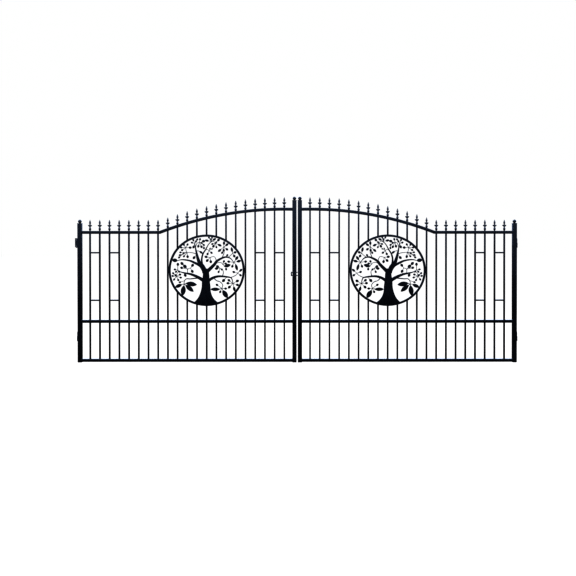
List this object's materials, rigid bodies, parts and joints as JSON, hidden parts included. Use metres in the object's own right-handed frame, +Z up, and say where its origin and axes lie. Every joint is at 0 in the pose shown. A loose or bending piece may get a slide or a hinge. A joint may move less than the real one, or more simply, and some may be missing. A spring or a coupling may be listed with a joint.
{
  "type": "double swing driveway gate",
  "caption": "Arched double swing driveway gate of welded steel bars with spear finials, tree medallions, pin hinges and a slide bolt.",
  "frame": {"origin": "middle of the bearing face of the lower left hinge bracket, where it meets the pillar; the stiles' feet are 0.292 m below it", "axes": "+X across the gate from the left pillar to the right one, +Y away from the road, the way the leaves open, +Z up"},
  "size_m": [5.548, 0.1, 2.07],
  "materials": {
    "frame_bars": "satin black powder coat",
    "cast_fittings": "satin black powder coat on castings",
    "medallion_plate": "satin black powder coat on cut plate",
    "hinge_steel": "black paint on turned steel",
    "latch_steel": "black paint on steel"
  },
  "bodies": {
    "brackets": {"left_lower_hinge_bracket": "hinge_steel", "left_upper_hinge_bracket": "hinge_steel", "right_lower_hinge_bracket": "hinge_steel", "right_upper_hinge_bracket": "hinge_steel"},
    "left_leaf": {"left_hinge_stile": "frame_bars", "left_meeting_stile": "frame_bars", "left_top_rail": "frame_bars", "left_arch_rail": "frame_bars", "left_middle_rail": "frame_bars", "left_bottom_rail": "frame_bars", "left_outer_pickets": "frame_bars", "left_inner_pickets": "frame_bars", "left_upper_medallion_pickets": "frame_bars", "left_lower_medallion_pickets": "frame_bars", "left_outer_rungs": "frame_bars", "left_inner_rungs": "frame_bars", "left_flat_finials": "cast_fittings", "left_arch_finials": "cast_fittings", "left_medallion": "medallion_plate", "left_hinge_stile_cap": "cast_fittings", "left_meeting_stile_cap": "cast_fittings", "left_lower_hinge_knuckle": "hinge_steel", "left_upper_hinge_knuckle": "hinge_steel", "latch_guide": "latch_steel"},
    "right_leaf": {"right_hinge_stile": "frame_bars", "right_meeting_stile": "frame_bars", "right_top_rail": "frame_bars", "right_arch_rail": "frame_bars", "right_middle_rail": "frame_bars", "right_bottom_rail": "frame_bars", "right_outer_pickets": "frame_bars", "right_inner_pickets": "frame_bars", "right_upper_medallion_pickets": "frame_bars", "right_lower_medallion_pickets": "frame_bars", "right_outer_rungs": "frame_bars", "right_inner_rungs": "frame_bars", "right_flat_finials": "cast_fittings", "right_arch_finials": "cast_fittings", "right_medallion": "medallion_plate", "right_hinge_stile_cap": "cast_fittings", "right_meeting_stile_cap": "cast_fittings", "right_lower_hinge_knuckle": "hinge_steel", "right_upper_hinge_knuckle": "hinge_steel", "latch_keeper": "latch_steel"},
    "slide_bolt": {"latch_bolt": "latch_steel"}
  },
  "joints": [
    {"name": "left_leaf_swing", "type": "hinge", "parent": "brackets", "child": "left_leaf", "pos_m": [0.009, 0, 0.03], "axis": [0, 0, 1], "range_deg": [0, 90]},
    {"name": "right_leaf_swing", "type": "hinge", "parent": "brackets", "child": "right_leaf", "pos_m": [5.515, 0, 0.03], "axis": [0, 0, -1], "range_deg": [0, 90]},
    {"name": "bolt_slide", "type": "slide", "parent": "left_leaf", "child": "slide_bolt", "axis": [1, 0, 0], "range_m": [0, 0.03]}
  ]
}
